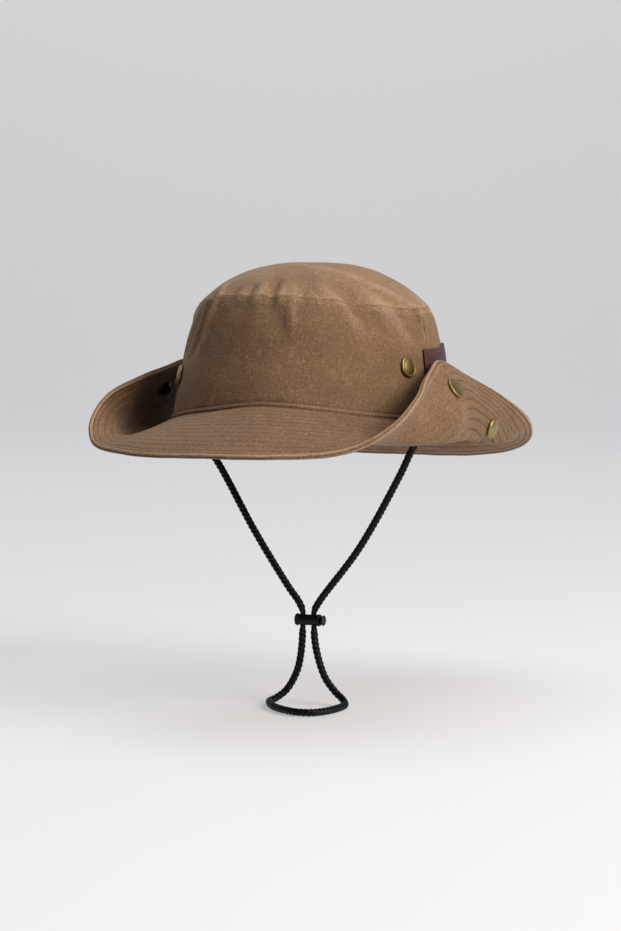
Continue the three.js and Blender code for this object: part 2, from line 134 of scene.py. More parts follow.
# Rows of stitching on the brim, in mm along the cloth from the edge
EDGE_STITCH = 2.7
HEM = 6.3
ROW_SPACING = 6.15
ROW_COUNT = 11
BRIM_WIDTH = 75
ROW_DEPTH = 0.24
STITCH_PITCH = 3.1
BRIM_SEAM_ANGLE = 86
FAINT_ROWS = 0.2

PATCH = {"from": 83, "to": 117, "low": 0.18, "high": 0.64, "climb": 0.0005}
PATCH_WIDTH = 53
PATCH_HEIGHT = 33
PATCH_THICKNESS = 1.6
PATCH_SEAT = 0.35
PATCH_STITCH = 2.4

# Within so many mm of a snap's middle the cloth lies as its skin does
SNAP_SEAT = 6.5
# Where the snaps sit, as an angle and a ring: on the crown, on the flap, and low on its rear
SNAP_PLACES = {
    "left": {"crown": (71.6, 1.52), "flap": (82, 2.72), "rear": (104, 2.46)},
    "right": {"crown": (-50, 1.62), "flap": (-87, 2.65), "rear": (-106, 2.45)},
}

CORD_RADIUS = 1.75
STRAP_Y = -10.7
FLOOR_HEIGHT = -190
LYING = FLOOR_HEIGHT + CORD_RADIUS + 0.05
TOGGLE_HEIGHT = -135.2
# The drawn cord: the core inside its strands, how far it swells where the cord is free, the height
# of the strands, their lay, and how much higher the cord lies because of them, in mm
CORE_RADIUS = CORD_RADIUS - 0.4
CORE_SWELL = 0.1
STRAND_HEIGHT = 1
BRAID_LAY = 9.6
LYING_RAISE = 0.6
# Strands that wind each way
BRAID_STRANDS = 3

# The cord's tabs: the angle of their middle, the degrees that they span, the rings of their lower
# and upper end, and in mm how deep inside the crown's skin they lie and how thick they are
TAB = {"angle": 83.8, "span": 5.6, "low": 2.03, "high": 1.88, "inside": 1.8, "thick": 3.8}

# The floor and the sweep behind it, in metres
FLOOR_FRONT = -2.5
FLOOR_BACK = 3.2
FLOOR_HALF_WIDTH = 5
SWEEP_RADIUS = 0.9
SWEEP_TOP = 4.5
# The camera's place in metres, and how it is turned round from the front and tilted, in degrees
CAMERA_PLACE = (0.6922, -1.5213, 0.0809)
CAMERA_TURN = 24.5
CAMERA_TILT = 86


def linear(colour):
    """A six-figure sRGB colour as linear red, green, blue and alpha."""
    parts = [int(colour[i:i + 2], 16) / 255 for i in (1, 3, 5)]
    parts = [c / 12.92 if c <= 0.04045 else ((c + 0.055) / 1.055) ** 2.4 for c in parts]
    return (*parts, 1)


def cubic(t, start, leave, end, arrive):
    """A curve from start to end, for t from 0 to 1, that leaves and arrives at given rates."""
    first = (2 * t**3 - 3 * t**2 + 1) * start + (t**3 - 2 * t**2 + t) * leave
    return first + (3 * t**2 - 2 * t**3) * end + (t**3 - t**2) * arrive


def through_rows(rows, places):
    """A smooth curve through a table's rows, level at both ends, at each of the places."""
    table = np.array(rows, float)
    at, values = table[:, 0], table[:, 1:]
    slopes = np.diff(values, axis=0) / np.diff(at)[:, None]
    tangents = np.zeros_like(values)
    tangents[1:-1] = (slopes[:-1] + slopes[1:]) / 2
    places = np.clip(places, at[0], at[-1])
    i = np.clip(np.searchsorted(at, places, side="right") - 1, 0, len(at) - 2)
    gap = (at[i + 1] - at[i])[:, None]
    part = (places - at[i])[:, None] / gap
    return cubic(part, values[i], gap * tangents[i], values[i + 1], gap * tangents[i + 1]).T


def smoothstep(x):
    x = np.clip(x, 0, 1)
    return x * x * (3 - 2 * x)


def bell(distance, width):
    """1 on a line, falling smoothly to 0 on both its sides."""
    return np.exp(-((distance / width) ** 2))


def wrapped(angle):
    return (angle + 180) % 360 - 180


def base_seam(angle):
    away = wrapped(angle - SEAM_SAG["angle"]) / SEAM_SAG["spread"]
    return HEAD_SEAM_ARCH * np.cos(2 * np.radians(angle)) - SEAM_SAG["depth"] * np.exp(-(away**4))


def top_seam(angle):
    return TOP_SEAM_HEIGHT + TOP_SEAM_ARCH * np.cos(2 * np.radians(angle))


def unit(way):
    """The same direction, one long."""
    return way / np.maximum(np.linalg.norm(way, axis=-1, keepdims=True), 1e-9)


def outward(angle):
    turn = np.radians(angle)
    across, ahead = HEAD_HALF_LENGTH * np.sin(turn), -HEAD_HALF_WIDTH * np.cos(turn)
    return unit(np.stack([across, ahead, 0 * turn], -1))


def on_oval(angle, inset, height):
    turn = np.radians(angle)
    x = (HEAD_HALF_WIDTH - inset) * np.sin(turn)
    y = -(HEAD_HALF_LENGTH - inset) * np.cos(turn)
    return np.stack([x, y, height + 0 * turn], -1)


def brim_section(angle, share):
    """Where the brim's section lies at an angle: out across and up, at a share of its length."""
    turns, which = np.unique(np.round(wrapped(angle), 4), return_inverse=True)
    reach, height, seam_slope, edge_slope, pull = through_rows(BRIM_ROWS, abs(turns))
    seam = np.stack([0 * turns, base_seam(turns)], -1)
    edge = np.stack([reach, height], -1)
    leave = np.radians(seam_slope)
    arrive = np.radians(edge_slope)
    out = seam + np.stack([np.cos(leave), np.sin(leave)], -1) * pull[:, None]
    back = edge - np.stack([np.cos(arrive), np.sin(arrive)], -1) * pull[:, None]
    t = np.linspace(0, 1, 101)[None, :, None]
    curve = seam[:, None] * (1 - t) ** 3 + 3 * out[:, None] * (1 - t) ** 2 * t
    curve = curve + 3 * back[:, None] * (1 - t) * t**2 + edge[:, None] * t**3
    steps = np.linalg.norm(np.diff(curve, axis=1), axis=2)
    run = np.concatenate([np.zeros((len(turns), 1)), np.cumsum(steps, axis=1)], axis=1)
    run /= run[:, -1:]
    share = np.clip(share, 0, 1)
    i = np.clip((run[which] <= share[:, None]).sum(axis=1) - 1, 0, 99)
    part = (share - run[which, i]) / (run[which, i + 1] - run[which, i])
    spot = curve[which, i] + (curve[which, i + 1] - curve[which, i]) * part[:, None]
    return spot[:, 0], spot[:, 1]


def brim_base(angle, ring):
    out, up = brim_section(angle, ring - 2)
    return on_oval(angle, 0, up) + outward(angle) * (out + SEAM_GAP)[:, None]


def crown_base(angle, ring):
    """The crown's skin with its dents. Ring 0 is its middle, 1 the top seam, 2 the base seam."""
    rim_inset, rim_back = through_rows(WALL_ROWS, np.array([1.0]))[:, 0]
    dome = TOP_SEAM_HEIGHT + DOME_RISE * (1 - np.minimum(ring, 1) ** DOME_POWER)
    dome = dome + (top_seam(angle) - TOP_SEAM_HEIGHT) * ring**2
    top = on_oval(angle, rim_inset, 0) * ring[:, None]
    top = np.stack([top[:, 0], top[:, 1] + rim_back, dome], -1)
    share = np.clip(2 - ring, 0, 1)
    inset, back = through_rows(WALL_ROWS, share)
    base = base_seam(angle)
    tail = np.maximum(ring - 2, 0) * TOP_SEAM_HEIGHT
    wall = on_oval(angle, inset, base + (top_seam(angle) - base) * share - tail)
    wall[:, 1] += back
    point = np.where((ring < 1)[:, None], top, wall)
    for dent_angle, dent_ring, spread, rise, slant, depth in DENTS:
        up = dent_ring - ring
        size = np.exp(-((wrapped(angle - dent_angle + slant * up) / spread) ** 2) - (up / rise) ** 2)
        point = point - outward(angle) * (depth * size)[:, None]
    return point


def normal_of(surface, angle, ring):
    """The direction out of a skin: outward on the crown, level below its base, up on the brim."""
    lowest, highest = (2, 3) if surface is brim_base else (0.001, 2)
    round_it = surface(angle + 1, ring) - surface(angle - 1, ring)
    inner = np.maximum(ring - 0.02, lowest)
    outer = np.minimum(ring + 0.02, highest)
    way = unit(np.cross(surface(angle, outer) - surface(angle, inner), round_it))
    return np.where((ring > highest)[:, None], outward(angle), way)


def run_along(points):
    """How far along a line each of its points lies."""
    return np.concatenate([[0], np.cumsum(np.linalg.norm(np.diff(points, axis=0), axis=1))])


def at_places(places, run, values):
    """What the values, known at each of a line's points, are at places along it."""
    return np.stack([np.interp(places, run, values[:, k]) for k in range(3)], -1)


def ripples(point, size, seed):
    """Soft noise between -1 and 1 over points in mm, with features of a size in mm."""
    shift = Vector((seed * 3.7, seed * 1.9, seed * 5.3))
    return np.array([noise.noise(Vector(p) / size + shift) for p in point])


def bedded(point, surface, kinds):
    """0 where a snap sits on the cloth, so that it lies there as its skin does, and 1 away."""
    free = np.ones(len(point))
    for places in SNAP_PLACES.values():
        for kind in kinds:
            angle, ring = np.array([places[kind]], float).T
            away = np.linalg.norm(point - surface(angle, ring), axis=1)
            free = free * smoothstep((away - SNAP_SEAT) / 7)
    return free


def along_folds(point, surface, folds, mirrored=False):
    """Height of the folds at each point, in mm."""
    height = np.zeros(len(point))
    for start, end, width, rise in folds:
        for sign in (1, -1) if mirrored else (1,):
            steps = np.linspace(0, 1, 33)
            angles = sign * (start[0] + (end[0] - start[0]) * steps)
            rings = start[1] + (end[1] - start[1]) * steps
            line = surface(angles, rings)
            low = line.min(axis=0) - 3 * width
            high = line.max(axis=0) + 3 * width
            close = ((point > low) & (point < high)).all(axis=1)
            if not close.any():
                continue
            apart = np.linalg.norm(point[close][:, None] - line[None], axis=2)
            run = apart.argmin(axis=1) / (len(line) - 1)
            ends = np.sin(np.pi * (0.1 + 0.8 * run)) ** 0.6
            height[close] += rise * ends * bell(apart.min(axis=1), width)
    return height


def crown_skin(angle, ring, lift):
    """Points on the crown's cloth at a lift off its skin, with all folds and soft waves."""
    way = normal_of(crown_base, angle, ring)
    point = crown_base(angle, ring)
    calm = smoothstep((2.0 - ring) / 0.12) * bedded(point, crown_base, ["crown"])
    share = 2 - ring
    beside = np.maximum(PATCH["from"] - 1 - angle, angle - PATCH["to"] - 1) * 1.5
    above = np.maximum(PATCH["low"] - 0.01 - share, share - PATCH["high"] - 0.06) * TOP_SEAM_HEIGHT
    calm = calm * smoothstep(np.maximum(beside, above) / 6)
    wave = along_folds(point, crown_base, FOLDS)
    wave = wave + 0.75 * ripples(point, 34, 1) + 0.28 * ripples(point, 11, 2)
    # Puckers stand up along the top seam
    seam = bell((ring - 1) * PUCKER_SPAN, 5)
    wave = wave + seam * 0.55 * ripples(point * (1, 1, 0.25), 5, 3)
    return point + way * (lift + wave * calm)[:, None]


def brim_skin(angle, ring, lift):
    """Points on the brim's cloth at a lift off its skin. The lift turns upright at the seam."""
    way = normal_of(brim_base, angle, ring)
    settled = smoothstep((ring - 2) / ROOT_SETTLE)[:, None]
    way = way * settled + np.array([0, 0, 1.0]) * (1 - settled)
    point = brim_base(angle, ring)
    calm = smoothstep((ring - 2) / 0.14) * bedded(point, brim_base, ["flap", "rear"])
    wave = along_folds(point, brim_base, CREASES, mirrored=True)
    wave = wave + 0.8 * ripples(point, 42, 4) + 0.22 * ripples(point, 13, 5)
    return point + way * (lift + wave * calm)[:, None]


def shown_rows(angle):
    """How clearly the rows show on the brim's underside, which is smooth on its front part."""
    side = abs(wrapped(angle))
    return FAINT_ROWS + (1 - FAINT_ROWS) * smoothstep((side - BRIM_SEAM_ANGLE) / 1.5)


def edge_distance(ring):
    """How far a ring of the brim lies from its edge, in mm along the cloth."""
    return (3 - ring) * BRIM_WIDTH


def stitch_dip(ring):
    """How deep the stitching pulls the brim's cloth in, from 1 on a row to 0 between rows."""
    from_edge = edge_distance(ring)
    row = np.clip(np.round((from_edge - HEM) / ROW_SPACING), 0, ROW_COUNT - 1)
    away = abs(from_edge - HEM - row * ROW_SPACING)
    return bell(away, 0.7) + 0.25 * (1 - smoothstep(away / (ROW_SPACING / 2)))


def hem_roll(ring):
    """Height of the folded edge, a narrow roll with a stitched line inside it, in mm."""
    from_edge = edge_distance(ring)
    roll = 0.42 * np.sin(np.pi * np.clip(from_edge / EDGE_STITCH, 0, 1))
    return roll - 0.4 * bell(from_edge - EDGE_STITCH, 0.45)


def linked(name, data):
    thing = bpy.data.objects.new(name, data)
    bpy.context.scene.collection.objects.link(thing)
    return thing


def plain_object(bm, name, smooth=True):
    """An object at the origin with its faces outward, from a bmesh that isn't used again."""
    mesh = bpy.data.meshes.new(name)
    bmesh.ops.recalc_face_normals(bm, faces=bm.faces)
    for face in bm.faces:
        face.smooth = smooth
    bm.to_mesh(mesh)
    bm.free()
    return linked(name, mesh)


def object_from(bm, name, finish, body="hat"):
    """A finished piece, riding on a body."""
    piece = plain_object(bm, name)
    piece.data.materials.append(finish)
    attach(piece, body)
    return piece


def vertex_places(bm):
    return np.array([v.co[:] for v in bm.verts])


def move_vertices(bm, spots):
    """Moves each vertex to its spot, in mm."""
    for corner, spot in zip(bm.verts, spots):
        corner.co = Vector(spot) * MM


def round_edges(piece, width, segments=2, sharper_than=30):
    """Rounds the edges of a piece that turn by more than so many degrees, over a width in mm."""
    edge = piece.modifiers.new("edge", "BEVEL")
    edge.width = width * MM
    edge.segments = segments
    edge.limit_method = "ANGLE"
    edge.angle_limit = math.radians(sharper_than)


def cloth_all_round(name, node, columns, section, skin, laid_flat, marks, finish):
    """A closed sheet all round the hat. The section is a loop of (ring, lift), and the marks are
    values that the material reads."""
    rings, lifts = np.array(section, float).T
    bm = bmesh.new()
    bmesh.ops.create_grid(bm, x_segments=columns, y_segments=len(section) - 1, size=0.5)
    uv = bm.loops.layers.uv.new("cloth")
    layers = [bm.verts.layers.float.new(mark) for mark in marks]
    x, y, _ = vertex_places(bm).T
    angle = x * 360
    row = np.round((y + 0.5) * (len(section) - 1)).astype(int)
    ring = rings[row]
    spots = skin(angle, ring, lifts[row])
    flat = laid_flat(angle, ring, spots)
    for layer, mark in zip(layers, marks.values()):
        for corner, value in zip(bm.verts, mark(angle, ring, spots)):
            corner[layer] = value
    move_vertices(bm, spots)
    bm.verts.index_update()
    for face in bm.faces:
        for loop in face.loops:
            loop[uv].uv = flat[loop.vert.index] * MM
    bmesh.ops.remove_doubles(bm, verts=bm.verts, dist=0.00001)
    piece = object_from(bm, name, finish)
    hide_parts(node)


def add_node(tree, kind, links=(), stops=(), **settings):
    """Adds a shader node with its settings. The links give its inputs, by name or in order, a
    value each, an output of another node, or a node for that node's first output. The stops are
    those of a colour ramp."""
    node = tree.nodes.new("ShaderNode" + kind)
    for name, value in settings.items():
        setattr(node, name, value)
    for name, value in links.items() if isinstance(links, dict) else enumerate(links):
        if isinstance(value, bpy.types.Node):
            value = value.outputs[0]
        if isinstance(value, bpy.types.NodeSocket):
            tree.links.new(value, node.inputs[name])
        else:
            node.inputs[name].default_value = value
    if len(stops) > 2:
        node.color_ramp.elements.new(0.5)
    for i, (place, colour) in enumerate(stops):
        node.color_ramp.elements[i].position = place
        node.color_ramp.elements[i].color = linear(colour)
    return node


def new_material(name):
    """An empty material, and the function that adds a node to it."""
    material = bpy.data.materials.new(name)
    material.use_nodes = True
    material.node_tree.nodes.clear()
    return material, partial(add_node, material.node_tree)


def finish_material(material, node, links):
    node("OutputMaterial", {"Surface": node("BsdfPrincipled", links)})
    return material


def waxed_cotton(name, dark, middle, light, sheen, rows):
    """Waxed cotton canvas, plain woven and proofed with wax: matt, with a dull sheen, mottled
    where the wax has cracked, and paler along the folds and edges where it is rubbed. The same
    mark also carries painted light: a paler crown top, a painted highlight on the brim's edge,
    and painted shade in the hollows of folds."""
    material, node = new_material(name)
    place = node("TexCoord").outputs["Object"]
    cloth = node("UVMap", uv_map="cloth")
    # Wear and painted light in one mark: paler where rubbed, with painted light on the crown's top
    # and the brim's edge, and painted shade in fold hollows
    wear_and_painted_light = node("Attribute", attribute_name="wear_and_painted_light").outputs["Fac"]

    def speckle(size, detail, rough=0.55):
        links = {"Vector": place, "Scale": 1 / (size * MM), "Detail": detail, "Roughness": rough}
        return node("TexNoise", links)

    # Threads are 0.45 mm apart, drawn 0.9 mm apart so that they show
    def threads(turn, spacing=0.9):
        turned = node("Mapping", {"Vector": cloth, "Rotation": (0, 0, turn)})
        links = {"Vector": turned, "Scale": 2 * math.pi / (spacing * MM) / 20, "Distortion": 1.2,
                 "Detail": 2, "Detail Scale": 1.4}
        return node("TexWave", links).outputs["Fac"]

    # Thick places in the threads, 10 to 14 mm long and drawn 0.8 mm wide
    def slubs(across, up):
        spread = node("Mapping", {"Vector": cloth, "Scale": (1 / across / MM, 1 / up / MM, 1 / MM)})
        return node("TexNoise", {"Vector": spread, "Scale": 1, "Detail": 2})

    clouds = speckle(38, 3)
    patches = speckle(9, 4, 0.6)
    grain = speckle(1.3, 2)
    weave = node("Math", [threads(0), threads(math.pi / 2)], operation="MULTIPLY")
    streaks = node("Math", [slubs(14, 0.8), slubs(0.8, 10)], operation="ADD")
    speck, slub = (0.85, 0.36) if rows else (0.7, 0.26)
    # The cloth's own tone is 0.45, and each pattern strays from it to both sides
    tone = 0.45 - (0.24 + 0.2 + speck) / 2 - slub
    for pattern, weight in ((clouds, 0.24), (patches, 0.2), (grain, speck), (streaks, slub),
                            (wear_and_painted_light, 0.45)):
        tone = node("Math", [pattern, weight, tone], operation="MULTIPLY_ADD")
    relief = 0
    for pattern, weight in ((weave, 0.5), (grain, 0.8), (streaks, 0.4)):
        relief = node("Math", [pattern, weight, relief], operation="MULTIPLY_ADD")
    if rows:
        # Each row is a thin dark line with a needle hole at every stitch
        flat = node("SeparateXYZ", [cloth]).outputs
        across = node("Math", [flat["Y"], HEM * MM], operation="SUBTRACT")
        across = node("Math", [across, ROW_SPACING / 2 * MM], operation="PINGPONG")
        line = node("MapRange", [across, 0, 0.85 * MM, 1, 0])
        inside = node("Math", [flat["Y"], (HEM - 1.5) * MM], operation="GREATER_THAN")
        at_edge = node("Math", [flat["Y"], EDGE_STITCH * MM], operation="SUBTRACT")
        at_edge = node("Math", [at_edge], operation="ABSOLUTE")
        at_edge = node("MapRange", [at_edge, 0, 0.75 * MM, 0.8, 0])
        hole = node("Math", [flat["X"], STITCH_PITCH / 2 * MM], operation="PINGPONG")
        hole = node("MapRange", [hole, 0, 0.6 * MM, 1, 0.35])
        shown = node("Attribute", attribute_name="rows").outputs["Fac"]
        for share in (hole, inside, shown):
            line = node("Math", [line, share], operation="MULTIPLY")
        line = node("Math", [line, at_edge], operation="ADD")
        tone = node("Math", [line, -0.5, tone], operation="MULTIPLY_ADD")
        relief = node("Math", [line, -1.2, relief], operation="MULTIPLY_ADD")
    colour = node("ValToRGB", [tone], [(0.12, dark), (0.5, middle), (0.88, light)])
    # Pale lint caught in the wax, about one speck in each square of 30 mm
    links = {"Vector": cloth, "Scale": 1 / (13 * MM), "Randomness": 1}
    lint = node("TexVoronoi", links, voronoi_dimensions="2D").outputs
    few = node("SeparateXYZ", [lint["Color"]]).outputs["X"]
    few = node("Math", [few, 0.82], operation="GREATER_THAN")
    fleck = node("MapRange", [lint["Distance"], 0.015, 0.05, 0.6, 0])
    fleck = node("Math", [fleck, few], operation="MULTIPLY")
    mixed = node("Mix", {0: fleck, 6: colour, 7: linear("#c9ae8c")}, data_type="RGBA")
    return finish_material(material, node, {
        "Base Color": mixed.outputs[2],
        "Roughness": node("MapRange", [patches, 0.3, 0.7, 0.62, 0.8]),
        "Normal": node("Bump", {"Height": relief, "Distance": 0.22 * MM, "Strength": 0.8}),
        "Sheen Weight": sheen, "Sheen Roughness": 0.45, "Sheen Tint": linear("#e8dac6"),
        "Specular IOR Level": 0.35,
    })


def plain_finish(name, colour, other, rough, metallic=0.0, size=1.5, depth=0.03, sheen=0.0,
                 gloss=0.5):
    """A finish of two close colours in fine specks, with a faint relief."""
    material, node = new_material(name)
    place = node("TexCoord").outputs["Object"]
    links = {"Vector": place, "Scale": 1 / (size * MM), "Detail": 4, "Roughness": 0.6}
    specks = node("TexNoise", links)
    return finish_material(material, node, {
        "Base Color": node("ValToRGB", [specks], [(0.3, colour), (0.7, other)]),
        "Roughness": node("MapRange", [specks, 0.3, 0.7, rough, min(1, rough + 0.14)]),
        "Normal": node("Bump", {"Height": specks, "Distance": depth * MM}),
        "Metallic": metallic, "Sheen Weight": sheen, "Specular IOR Level": gloss,
    })


# Waxed cotton canvas, the crown's a little darker than the brim's
CROWN_COTTON = waxed_cotton("waxed_cotton_crown", "#4b3019", "#785a3e", "#a4876b", 0.23,
                            rows=False)
BRIM_COTTON = waxed_cotton("waxed_cotton_brim", "#4d321a", "#7b5c41", "#a6896f", 0.16, rows=True)
# Smooth calf leather, dyed dark brown: a soft gloss with a fine pebble grain
PATCH_LEATHER = plain_finish("dyed_calf_leather", "#371c1c", "#492726", 0.5, size=0.9,
                             depth=0.06)
# Pressed brass, aged: a warm satin with dull brown specks
AGED_BRASS = plain_finish("aged_pressed_brass", "#b39d68", "#8c784e", 0.33, 1.0, size=2.2,
                          depth=0.02)
# Pressed brass, painted nearly black for the deep shade inside the flaps where the sockets sit:
# painted shade on a dark satin
SHADE_DARKENED_BRASS = plain_finish("pressed_brass_painted_shade", "#39332a", "#231f1a", 0.36, 1.0, size=2.2,
                          depth=0.02)
# Spun polyester thread, a shade paler than the cloth
PALE_THREAD = plain_finish("spun_thread_pale", "#b89b78", "#9c8060", 0.8, size=0.5, sheen=0.2)
# Spun polyester thread, matched to the cloth
BROWN_THREAD = plain_finish("spun_thread_brown", "#6b5039", "#57402d", 0.8, size=0.5, sheen=0.2)
# Braided polyester cord, black: each strand takes a thin, soft highlight
BLACK_CORD = plain_finish("braided_polyester_cord", "#050506", "#0a0a0b", 0.32, size=0.4,
                          gloss=0.17)
# Folded cotton tape, woven tightly: dull, with a fine speckle
BROWN_TAPE = plain_finish("folded_cotton_tape", "#57402e", "#6f543d", 0.85, size=0.8,
                          depth=0.1)
# Acetal, moulded black: an even satin
BLACK_ACETAL = plain_finish("moulded_acetal", "#070708", "#0e0e0f", 0.36, size=0.6, depth=0.02,
                            gloss=0.22)


def brim_rings(step_mm):
    return np.linspace(2, 3, round(BRIM_WIDTH / step_mm) + 1)


def brim_ply(name, node, side):
    """One ply: its outer face with the stitch rows, a rounded edge, and its hidden inner face.
    The side is 1 for the upper ply and -1 for the under ply."""
    near = side * PLY_GAP / 2
    far = side * BRIM_FACE
    section = [(ring, far) for ring in brim_rings(0.78)[:-2]]
    for back, share in ((1.1, 0.99), (0.55, 0.9), (0.18, 0.72), (0, 0.45), (0.12, 0.18), (0.5, 0.0)):
        section.append((3 - back / BRIM_WIDTH, near + (far - near) * share))
    section += [(ring, near) for ring in brim_rings(6)[::-1][1:]]
    section.append(section[0])

    def rows(angle, ring, spots):
        return 1.25 * shown_rows(angle) if side < 0 else np.full(len(angle), 0.85)

    def skin(angle, ring, lift):
        dip = ROW_DEPTH * stitch_dip(ring) * rows(angle, ring, None)
        if side < 0:
            dip = dip + along_seam(brim_base(angle, ring))
        return brim_skin(angle, ring, lift + side * (hem_roll(ring) - dip) * (lift == far))

    def laid_flat(angle, ring, spots):
        return np.stack([np.radians(angle) * (95 + (ring - 2) * 45), edge_distance(ring)], -1)

    # Paler along the edge: partly rubbed wear, partly a painted highlight where light catches the
    # rolled edge. The hem's line is paler where rubbed.
    def wear_and_painted_light(angle, ring, spots):
        from_edge = edge_distance(ring)
        edge = bell(from_edge - 1.2, 1.0) * 0.9
        hem = bell(from_edge - 4.6, 1.2) * (0.1 if side > 0 else 0.3)
        return edge + hem + 0.1 * ripples(spots, 20, 9)

    marks = {"wear_and_painted_light": wear_and_painted_light, "rows": rows}
    cloth_all_round(name, node, 480, section, skin, laid_flat, marks, BRIM_COTTON)


def along_seam(point):
    """How deep the underside's seam is pulled in at each point, in mm."""
    return along_folds(point, brim_base, [(*ends, 0.9, 0.45) for ends in UNDER_SEAM], mirrored=True)


def side_seam_angle(ring, sign):
    """Where the wall's side seam runs, on the left for 1 and on the right for -1."""
    return 94.5 - 22 * (ring - 1) if sign > 0 else -92 + 4 * (ring - 1)


def side_seams(angle, ring):
    """For each side seam, how far each point lies from it in mm, and whether it shows there: the
    left one runs under the patch."""
    for sign in (1, -1):
        apart = abs(wrapped(angle - side_seam_angle(ring, sign))) * DEGREE_SPAN
        shown = 1 - smoothstep((ring - LEFT_SEAM_STOP + 0.02) / 0.06) if sign > 0 else 1
        yield apart, shown


def crown_wall():
    step = 0.05 / TOP_SEAM_HEIGHT
    tail = 2 + WALL_TAIL / TOP_SEAM_HEIGHT
    outer = np.concatenate([np.linspace(1 + step, 1.1, 12), np.linspace(1.1, 1.9, 64)[1:],
                            np.linspace(1.9, 2, 14)[1:], [tail]])
    section = [(1 + step, -0.7)]
    section += [(ring, 0.0) for ring in outer]
    section += [(ring, -CROWN_THICKNESS) for ring in np.linspace(tail, 1 + step, 22)]
    section.append(section[0])

    def skin(angle, ring, lift):
        facing = lift > -0.2
        from_base = (2 - ring) * TOP_SEAM_HEIGHT
        from_top = (ring - 1) * TOP_SEAM_HEIGHT
        # The seam allowance under the base topstitching, and the folded edge at the top seam
        hem = 0.6 * smoothstep((from_base - 1.5) / 0.7) * (1 - smoothstep((from_base - 3.2) / 1.2))
        groove = -0.3 * bell(from_base - BASE_STITCH, 0.6)
        felled = 0.25 * (1 - smoothstep((from_top - 2.6) / 1.2))
        felled = felled - 0.3 * bell(from_top - TOP_STITCH, 0.6)
        shoulder = felled - 0.35 * (1 - smoothstep(from_top / 0.7))
        seams = 0
        for apart, shown in side_seams(angle, ring):
            ridge = 0.4 * (1 - smoothstep((apart - 3.2) / 1.0))
            line = -0.5 * bell(apart, 0.55)
            dips = -0.22 * bell(apart - SIDE_STITCH, 0.5)
            seams = seams + (ridge + line + dips) * shown * smoothstep((from_base - 6) / 2)
        return crown_skin(angle, ring, lift + facing * (hem + groove + shoulder + seams))

    def laid_flat(angle, ring, spots):
        return np.stack([np.radians(angle) * 92, (2 - ring) * TOP_SEAM_HEIGHT], -1)

    # Paler where rubbed: at the base hem, the folded top edge, the fold ridges and beside the side
    # seams. The fold hollows are a little darker: painted shade.
    def wear_and_painted_light(angle, ring, spots):
        from_base = (2 - ring) * TOP_SEAM_HEIGHT
        hem = bell(from_base - 2.6, 1.1)
        top = bell((ring - 1) * TOP_SEAM_HEIGHT - 2.4, 1.3)
        folds = np.clip(along_folds(spots, crown_base, FOLDS), -0.5, 1)
        seams = sum(bell(apart - 2.6, 1.1) * shown for apart, shown in side_seams(angle, ring))
        return 0.25 * hem + 0.3 * top + 0.3 * folds + 0.35 * seams + 0.1 * ripples(spots, 22, 8)

    cloth_all_round("crown_wall_cloth", "crown_wall", 420, section, skin, laid_flat,
                    {"wear_and_painted_light": wear_and_painted_light}, CROWN_COTTON)


def crown_top():
    step = 0.05 / TOP_SEAM_HEIGHT
    outer = np.concatenate([np.linspace(0, 0.86, 44), np.linspace(0.86, 1 - step, 18)[1:]])
    # Its edge laps a little way into the wall's, so that no light shows through the seam
    lap = 1 + 0.4 / TOP_SEAM_HEIGHT
    section = [(ring, 0.0) for ring in outer]
    section += [(lap, -0.7), (lap, -1.3)]
    section += [(ring, -CROWN_THICKNESS) for ring in np.linspace(1 - step, 0, 16)]

    def skin(angle, ring, lift):
        from_seam = (1 - ring) * DOME_REACH
        fold = 0.2 * bell(from_seam - 0.9, 0.8) - 0.2 * bell(from_seam - 2, 0.5)
        shoulder = -0.25 * (1 - smoothstep(from_seam / 0.6))
        return crown_skin(angle, ring, lift + (lift > -0.2) * (fold + shoulder))

    def laid_flat(angle, ring, spots):
        return spots[:, :2]

    # The whole top is lifted by 0.36: painted light, for the light that falls on it from above. It
    # is paler at the seam and along fold ridges where rubbed, and a little darker in fold hollows:
    # painted shade.
    def wear_and_painted_light(angle, ring, spots):
        seam = bell((1 - ring) * DOME_REACH - 1.2, 1.4)
        folds = np.clip(along_folds(spots, crown_base, FOLDS), -0.5, 1)
        return 0.36 + 0.2 * seam + 0.3 * folds + 0.1 * ripples(spots, 22, 7)

    cloth_all_round("crown_top_cloth", "crown_top", 360, section, skin, laid_flat,
                    {"wear_and_painted_light": wear_and_painted_light}, CROWN_COTTON)


def thread_rows(name, rows, finish, length=2.4, radius=0.26):
    """Stitches laid end to end along rows. Each row is its points and the ways out of them. They
    are copies of one sphere's mesh, because an operator's call for each would take minutes."""
    bm = bmesh.new()
    bmesh.ops.create_uvsphere(bm, u_segments=6, v_segments=4, radius=1)
    one = vertex_places(bm)
    sides = [[v.index for v in face.verts] for face in bm.faces]
    bm.free()
    spots, faces = [], []
    for points, ways in rows:
        run = run_along(points)
        middles = np.arange(STITCH_PITCH, run[-1] - STITCH_PITCH / 2, STITCH_PITCH)
        starts = at_places(middles - length / 2, run, points)
        ends = at_places(middles + length / 2, run, points)
        for start, end, way in zip(starts, ends, at_places(middles, run, ways)):
            along = unit(end - start)
            side = unit(np.cross(way, along))
            up = np.cross(along, side)
            body = one * (radius, radius, length / 2)
            body = body[:, :1] * up + body[:, 1:2] * side + body[:, 2:] * along
            first = len(spots) * len(one)
            faces += [[first + i for i in face] for face in sides]
            spots.append(body + (start + end) / 2)
    mesh = bpy.data.meshes.new(name)
    mesh.from_pydata((np.concatenate(spots) * MM).tolist(), [], faces)
    bm = bmesh.new()
    bm.from_mesh(mesh)
    piece = object_from(bm, name, finish)


def row_on(skin, angles, rings, lift, sign=1):
    angles = np.asarray(angles, float)
    rings = rings + 0 * angles
    points = skin(angles, rings, lift + 0 * angles)
    ways = skin(angles, rings, lift + sign + 0 * angles) - points
    return points, ways


